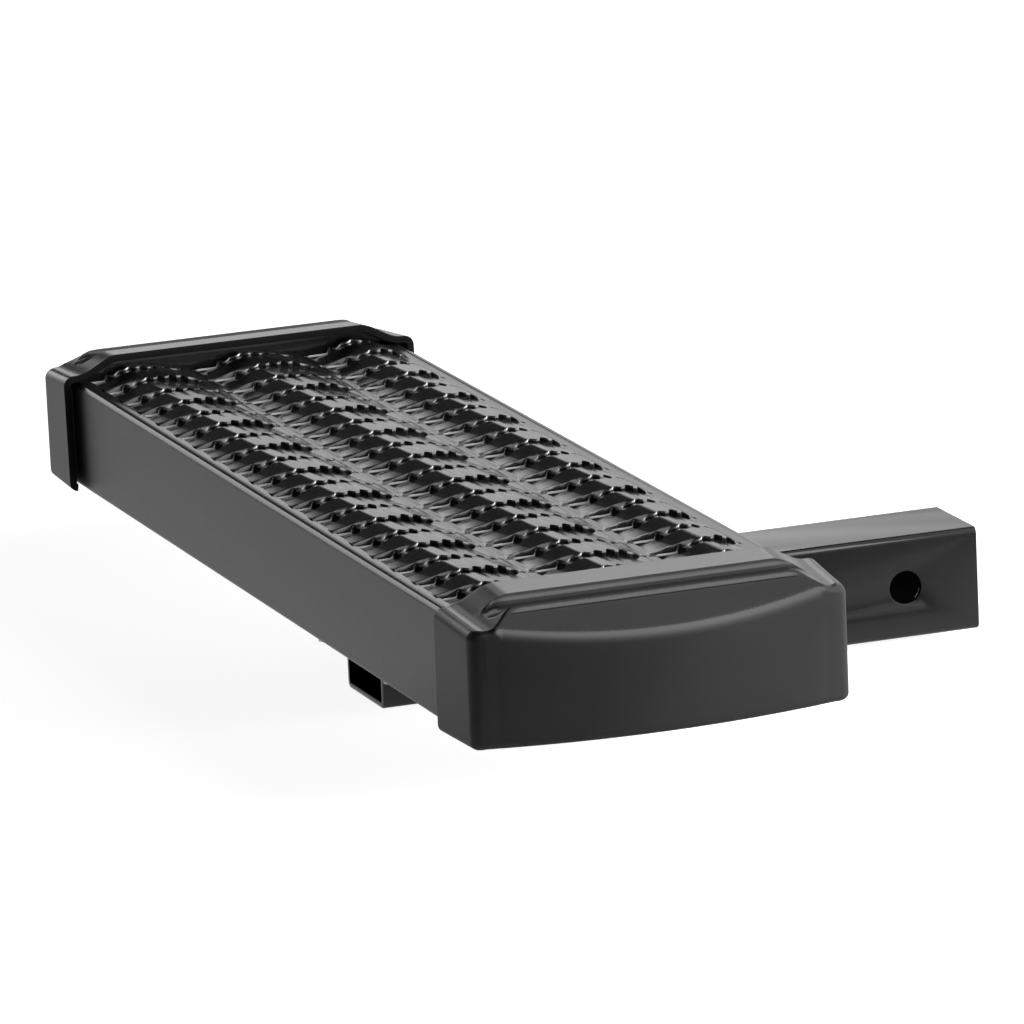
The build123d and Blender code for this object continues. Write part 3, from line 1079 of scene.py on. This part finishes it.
    def fittings(self) -> bpy.types.Object:
        """Makes the guide ribs, snap tabs and barbs inside the cap.

        Returns:
            The fittings as one piece.
        """
        draft = Draft()
        low, high = self.tab_base, self.tab_base + self.tab_height
        length, width, depth = self.barb
        across, out = self.barb_place
        prisms = [
            (self.rib, self.rib_height, (self.half - self.wall - self.rib_reach, self.half - self.wall / 2)),
            ((self.tab_start, self.depth - self.tab_short), (low, high), self.tab),
        ]
        for side in (-1, 1):
            for (first, last), (bottom, top), (inner, outer) in prisms:
                ys = [self.rim + self.side * place for place in (first, last)]
                profile = [(ys[0], bottom), (ys[1], bottom), (ys[1], top), (ys[0], top)]
                draft.add_prism(profile, *sorted(self.middle + side * place for place in (inner, outer)))
            ys = [self.rim + self.side * (out + step) for step in (-width / 2, width / 2)]
            profile = [(ys[0], low), (ys[1], low), (ys[1], low - depth)]
            middle = self.middle + side * across
            draft.add_prism(profile, middle - length / 2, middle + length / 2)
        return draft.piece("cap_fittings", self.material)

    def lowered(self, ring: np.ndarray, height: np.ndarray, inset: float, normals: np.ndarray) -> np.ndarray:
        """A ring of the wall brought down to a height, following the lean of the front.

        Args:
            ring: Upper ring of the wall.
            height: Height of each point of the new ring.
            inset: How far the new ring lies inside the wall.
            normals: Outward direction at each point.

        Returns:
            The new ring.
        """
        lower = ring - normals * inset
        fall = (ring[:, 2] - height) / (self.rail_top - self.floor)
        lower[:, 1] = lower[:, 1] - self.lean * fall * np.clip(normals[:, 1], 0, 1)
        lower[:, 2] = height
        return lower

    def place(self, grid: np.ndarray) -> np.ndarray:
        """Brings points from the cap's own frame, with Y from the rim outwards, to the part's frame.

        Args:
            grid: Rows and columns of points in the cap's frame.

        Returns:
            The points in the part's frame, with the columns in reverse.
        """
        out = grid[..., 1] + self.slant(grid[..., 2]) * np.clip(1 - grid[..., 1] / self.slot_start, 0, 1)
        placed = np.empty_like(grid)
        placed[..., 0] = self.middle - self.side * grid[..., 0]
        placed[..., 1] = self.rim + self.side * out
        placed[..., 2] = grid[..., 2]
        return placed[:, ::-1]

    def top_grid(self) -> tuple[np.ndarray, Outward]:
        """Makes the top of the cap inside its rounded edge.

        Returns:
            The grid of points and a function that gives the outward direction at a border point.
        """
        half, radius = self.half - self.side_edge, self.corner - self.side_edge
        centre = half - radius
        side = centre + radius * np.sin(QUARTER[::-1])
        coarse = np.arange(0, self.coarse_half, self.coarse_step)
        fine = np.arange(self.coarse_half, centre - self.fine_gap, self.fine_step)
        middle = np.concatenate([coarse, fine])
        across = np.concatenate([-side, -middle[:0:-1], middle, side[::-1]])
        front = self.depth + self.lean - self.edge
        bow = self.bulge * (1 - (across / self.half) ** 2)
        bend = np.sqrt(np.clip(radius**2 - np.clip(np.abs(across) - centre, 0, None) ** 2, 0, None)) - radius
        reach = front + bow + bend
        slot_end = self.slot_start + self.slot_width
        rows = [*self.rim_rows, *(self.slot_start + step for step in self.slot_rows)]
        rows += [slot_end + self.ridge_step * step for step in range(*self.ridge_rows)]
        straight = np.array(rows, float)
        shares = np.linspace(0, 1, self.facet_rows + 1)[1:]
        squeeze = np.minimum(1.0, reach / (front + self.squeeze_from))
        grid = np.zeros((len(straight) + len(shares), len(across), 3))
        for c, x in enumerate(across):
            start = straight * squeeze[c]
            out = np.concatenate([start, start[-1] + shares * (reach[c] - start[-1])])
            grid[:, c, 0] = x * (1 - self.taper / self.half * out / self.depth)
            grid[:, c, 1] = out
            grid[:, c, 2] = self.height(x, out)
        slope = -2 * self.bulge * across / self.half**2

        def outward(row: int, column: int) -> np.ndarray:
            """Finds the level direction out of the cap at a border point.

            Args:
                row: Row of the point.
                column: Column of the point.

            Returns:
                The direction, one unit long.
            """
            if row < len(grid) - 1 or abs(across[column]) >= half - TINY:
                sign = -1.0 if column == 0 else 1.0
                return np.array([sign, 0.0, 0.0])
            over = np.clip((np.abs(across[column]) - centre) / radius, 0, 1)
            flat = np.array([-slope[column], 1.0, 0.0])
            flat /= np.linalg.norm(flat)
            round_over = np.array([np.sign(across[column]) * over, math.sqrt(1 - over**2), 0.0])
            return round_over if over > 0 else flat

        return grid, outward

    def height(self, x: float, out: np.ndarray) -> np.ndarray:
        """Height of the cap's top.

        Args:
            x: Place across the cap.
            out: Places from the rim outwards.

        Returns:
            Height at each place.
        """
        aside = np.full_like(out, abs(x))
        rise = self.crown * smoothstep(self.crown_foot, self.crown_flat, aside)
        crown = self.rail_top + self.shoulder + rise - self.droop / self.depth * out
        ridge_top = self.slot_start + self.slot_width + self.ridge / 2
        facet = self.facet_top - math.tan(math.radians(self.facet_angle)) * (out - ridge_top)
        surface = soft_min(crown, facet, self.facet_blend)
        radius = self.slot_width / 2
        along = max(abs(x) - (self.slot_half - radius), 0.0)
        away = np.hypot(along, out - self.slot_start - radius) - radius
        wall = np.clip(1 + away / self.slot_round, 0, 1)
        depth = self.slot_depth * (1 - self.slot_fade * smoothstep(self.crown_flat, self.slot_half, aside))
        trough = np.where(away < 0, depth * np.sqrt(1 - wall**2), 0.0)
        bead = self.ridge_rise * np.exp(-(((out - ridge_top) / self.ridge) ** 2))
        return surface - trough + bead * smoothstep(self.bead_end, self.crown_flat, aside)


@dataclass
class Hardware:
    """The brackets, welds, bolts and nuts under the plank, which keep their CAD shape."""

    coat: bpy.types.Material
    zinc: bpy.types.Material

    def dress(self) -> None:
        """Gives each CAD node its finish."""
        for node in ("bracket_near", "bracket_far", "weld_beads"):
            self.paint(node, self.coat)
        for node in ("bracket_bolts", "bracket_nuts"):
            self.paint(node, self.zinc)

    def paint(self, node: str, material: bpy.types.Material) -> None:
        """Puts a material on a CAD node.

        Args:
            node: Name of the node.
            material: Its finish.
        """
        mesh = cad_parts[node].data
        mesh.materials.clear()
        mesh.materials.append(material)
        LOG.info("%s: painted %s", node, material.name)


@dataclass
class PhotoCamera:
    """The photograph's viewpoint, in degrees and millimetres from the plank's middle."""

    azimuth: float = -19.799
    elevation: float = 13.444
    roll: float = -2.609
    distance: float = 4654.94
    focal_pixels: float = 9721.45
    picture: int = 1024
    sensor: float = 36.0
    clip_end: float = 100.0
    target: Point = (5.718, 11.439, 53.211)

    def build(self, middle: float) -> None:
        """Makes the camera and puts it to use.

        Args:
            middle: Place of the plank's middle along X.
        """
        turn, lift, roll = (math.radians(v) for v in (self.azimuth, self.elevation, self.roll))
        back = Vector((math.sin(turn) * math.cos(lift), -math.cos(turn) * math.cos(lift), math.sin(lift)))
        level = Vector((math.cos(turn), math.sin(turn), 0.0))
        upright = back.cross(level)
        right = level * math.cos(roll) + upright * math.sin(roll)
        up = upright * math.cos(roll) - level * math.sin(roll)
        place = (Vector(self.target) + Vector((middle, 0, 0)) + back * self.distance) * MM
        data = bpy.data.cameras.new("photo_camera")
        data.sensor_width = self.sensor
        data.lens = self.focal_pixels * self.sensor / self.picture
        data.clip_end = self.clip_end
        camera = new_object("photo_camera", data)
        turned = Matrix((right, up, back)).transposed().to_4x4()
        camera.matrix_world = Matrix.Translation(place) @ turned
        bpy.context.scene.camera = camera


@dataclass(frozen=True)
class Lamp:
    """A square soft lamp, in metres and watts, that shows either in reflections or on matt surfaces."""

    name: str
    place: Point
    size: float
    power: float
    mirrored: bool = True

    def build(self) -> None:
        """Makes the lamp and turns it to the part."""
        data = bpy.data.lights.new(self.name, "AREA")
        data.size = self.size
        data.energy = self.power
        lamp = new_object(self.name, data)
        lamp.location = self.place
        towards = (CAD_BOX[0] + CAD_BOX[1]) / 2 - Vector(self.place)
        lamp.rotation_euler = towards.to_track_quat("-Z", "Y").to_euler()
        lamp.visible_glossy = self.mirrored
        lamp.visible_diffuse = not self.mirrored


LAMPS = (
    Lamp("front_softbox", (0.7, -1.8, 1.8), 2.0, 52.0),
    Lamp("left_card", (-0.87, 2.46, 0.91), 1.5, 13.0),
    Lamp("back_card", (0.65, 2.0, 1.0), 0.5, 1.5),
    Lamp("flank_card", (0.135, 1.98, 1.5), 0.55, 1.1),
    Lamp("top_card", (0.7, -0.2, 2.2), 2.0, 7.5),
    Lamp("right_softbox", (2.2, -0.8, 0.4), 1.2, 190.0, mirrored=False),
)


@dataclass
class Studio:
    """White surroundings: a pale floor, a bright horizon with a dimmer ceiling, and soft lamps."""

    floor_drop: float = 0.004
    floor_half: float = 9.0
    floor_grey: float = 0.8
    floor_white: float = 0.9
    floor_front: float = 0.12
    floor_mirrored: float = 0.74
    floor_fade: Span = (-0.3, 0.05)
    low: float = 0.62
    horizon: float = 0.97
    ceiling: float = 0.04
    climb: float = 1.3
    ramp_level: float = 0.5
    ramp_stops: tuple[float, ...] = (0.07, 0.13, 0.29, 0.38)

    def build(self) -> None:
        """Sets up the floor, the world and the lamps."""
        bpy.context.scene.view_settings.view_transform = "Standard"
        self.floor()
        self.world()
        for lamp in LAMPS:
            lamp.build()

    def floor(self) -> None:
        """Makes the pale floor just below the part."""
        height = CAD_BOX[0].z - self.floor_drop
        size = self.floor_half
        mesh = bpy.data.meshes.new("floor")
        corners = [(x * size, y * size, height) for x, y in ((-1, -1), (1, -1), (1, 1), (-1, 1))]
        mesh.from_pydata(corners, [], [(0, 1, 2, 3)])
        mesh.materials.append(self.floor_material())
        floor = new_object("floor", mesh)

    def floor_material(self) -> bpy.types.Material:
        """Makes the floor's finish: almost white to the camera, darker in front in reflections.

        Returns:
            The new material.
        """
        material, graph = blank_material("pale_floor")
        path = graph.add("ShaderNodeLightPath").outputs
        matt = graph.add("ShaderNodeBsdfDiffuse", {"Color": grey(self.floor_grey)})
        level = graph.calculate("MULTIPLY", path["Is Camera Ray"], self.floor_white)
        glow = graph.add("ShaderNodeEmission", {"Strength": level})
        lit = graph.add("ShaderNodeAddShader", {0: matt.outputs["BSDF"], 1: glow.outputs["Emission"]})
        place = graph.add("ShaderNodeTexCoord").outputs["Object"]
        along = graph.add("ShaderNodeSeparateXYZ", {"Vector": place}).outputs["Y"]
        fade = graph.spread(along, self.floor_fade, (self.floor_front, self.floor_mirrored))
        mirrored = graph.add("ShaderNodeEmission", {"Strength": fade})
        mix = graph.add("ShaderNodeMixShader", {
            "Fac": path["Is Glossy Ray"],
            1: lit.outputs["Shader"],
            2: mirrored.outputs["Emission"],
        })
        graph.add("ShaderNodeOutputMaterial", {"Surface": mix.outputs["Shader"]})
        return material

    def world(self) -> None:
        """Makes the surroundings: white to the camera, dimmer overhead to the surfaces."""
        world = bpy.data.worlds.new("white_studio")
        bpy.context.scene.world = world
        world.use_nodes = True
        world.node_tree.nodes.clear()
        graph = Graph(world.node_tree)
        way = graph.add("ShaderNodeTexCoord").outputs["Generated"]
        split = graph.add("ShaderNodeSeparateXYZ", {"Vector": way}).outputs
        climb = graph.calculate("MULTIPLY_ADD", split["X"], -self.climb, split["Z"])
        ramp = graph.add("ShaderNodeValToRGB", {"Fac": graph.calculate("ADD", climb, self.ramp_level)})
        stops = ramp.color_ramp.elements
        levels = (self.low, self.horizon, self.horizon, self.ceiling)
        for place, level in zip(self.ramp_stops, levels):
            stops.new(place).color = grey(level)
        stops.remove(stops[-1])
        stops.remove(stops[0])
        dim = graph.add("ShaderNodeBackground", {"Color": ramp.outputs["Color"]})
        white = graph.add("ShaderNodeBackground", {"Color": grey(1.0)})
        path = graph.add("ShaderNodeLightPath").outputs
        mix = graph.add("ShaderNodeMixShader", {
            "Fac": graph.calculate("MAXIMUM", path["Is Camera Ray"], path["Is Transmission Ray"]),
            1: dim.outputs["Background"],
            2: white.outputs["Background"],
        })
        graph.add("ShaderNodeOutputWorld", {"Surface": mix.outputs["Shader"]})


def main() -> None:
    """Builds the step and its studio."""
    logging.basicConfig(level=logging.INFO)
    sheet, coat = COATED_SHEET.material(), COATED_TUBE.material()
    plastic, zinc = CAP_PLASTIC.material(), ZINC_PLATE.material()
    plank = TreadPlank(sheet)
    hand_in(plank.build(), "coated_sheet", "tread_plank")
    hand_in(ReceiverTube(coat).build(), "coated_steel", "receiver_tube")
    for end in End:
        cap = EndCap(plastic, end)
        hand_in(cap.build(), "cap_plastic", cap.node)
    Hardware(coat, zinc).dress()
    PhotoCamera().build(plank.middle)
    Studio().build()


if __name__ == "__main__":
    main()
